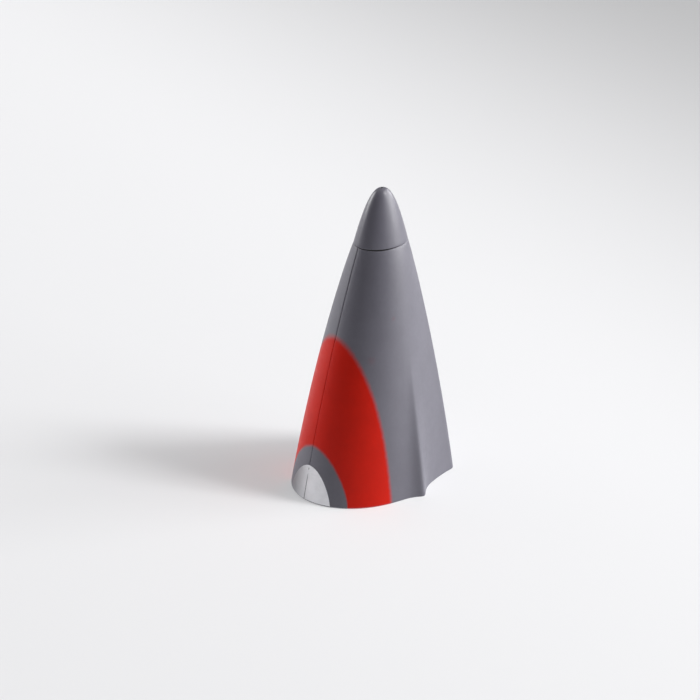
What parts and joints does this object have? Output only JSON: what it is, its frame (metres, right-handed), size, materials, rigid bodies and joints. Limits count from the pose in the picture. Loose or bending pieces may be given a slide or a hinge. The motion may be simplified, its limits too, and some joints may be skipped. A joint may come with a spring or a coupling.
{
  "type": "model aircraft nose cone",
  "caption": "Pointed nose cone of a foam ducted-fan model jet: two glued foam halves with side chines, a pull-off moulded tip, ballast, and a magnet-mounted rear former.",
  "frame": {"origin": "in the plane of the base rim, at the middle of the base's width and depth", "axes": "+Z from the base to the tip; -Y towards the long rounded spine that carries the joint line, the red arch and the silver patch; +Y towards the flat belly; +X the right half"},
  "size_m": [0.0882, 0.0985, 0.185],
  "materials": {
    "painted_foam": "satin grey spray paint on smooth moulded foam, with a red arch over the spine",
    "moulded_tip": "satin grey hard moulding",
    "silver_foil": "satin silver foil sticker",
    "plywood": "bare light plywood",
    "black_nylon": "black moulded nylon",
    "white_nylon": "white moulded nylon",
    "nickel_plate": "bright nickel plate",
    "zinc_steel": "zinc-plated steel",
    "ballast_steel": "blackened turned steel"
  },
  "bodies": {
    "cone": {"left_shell": "painted_foam", "right_shell": "painted_foam", "tip_socket": "black_nylon", "silver_patch": "silver_foil", "rear_former": "plywood", "front_former": "plywood", "peg_bush_left": "black_nylon", "peg_bush_right": "black_nylon", "magnet_spine_left": "nickel_plate", "magnet_spine_right": "nickel_plate", "magnet_belly_left": "nickel_plate", "magnet_belly_right": "nickel_plate", "screw_spine_left": "zinc_steel", "screw_spine_right": "zinc_steel", "screw_belly_left": "zinc_steel", "screw_belly_right": "zinc_steel", "ballast_weight_1": "ballast_steel", "ballast_weight_2": "ballast_steel", "ballast_weight_3": "ballast_steel", "ballast_bolt": "zinc_steel", "ballast_nut": "zinc_steel", "ballast_washer": "zinc_steel", "spine_dowel_low": "white_nylon", "spine_dowel_high": "white_nylon", "belly_dowel_low": "white_nylon", "belly_dowel_high": "white_nylon"},
    "tip": {"nose_tip": "moulded_tip"}
  },
  "joints": [
    {"name": "tip_pull", "type": "slide", "parent": "cone", "child": "tip", "axis": [0, 0, 1], "range_m": [0, 0.014]}
  ]
}
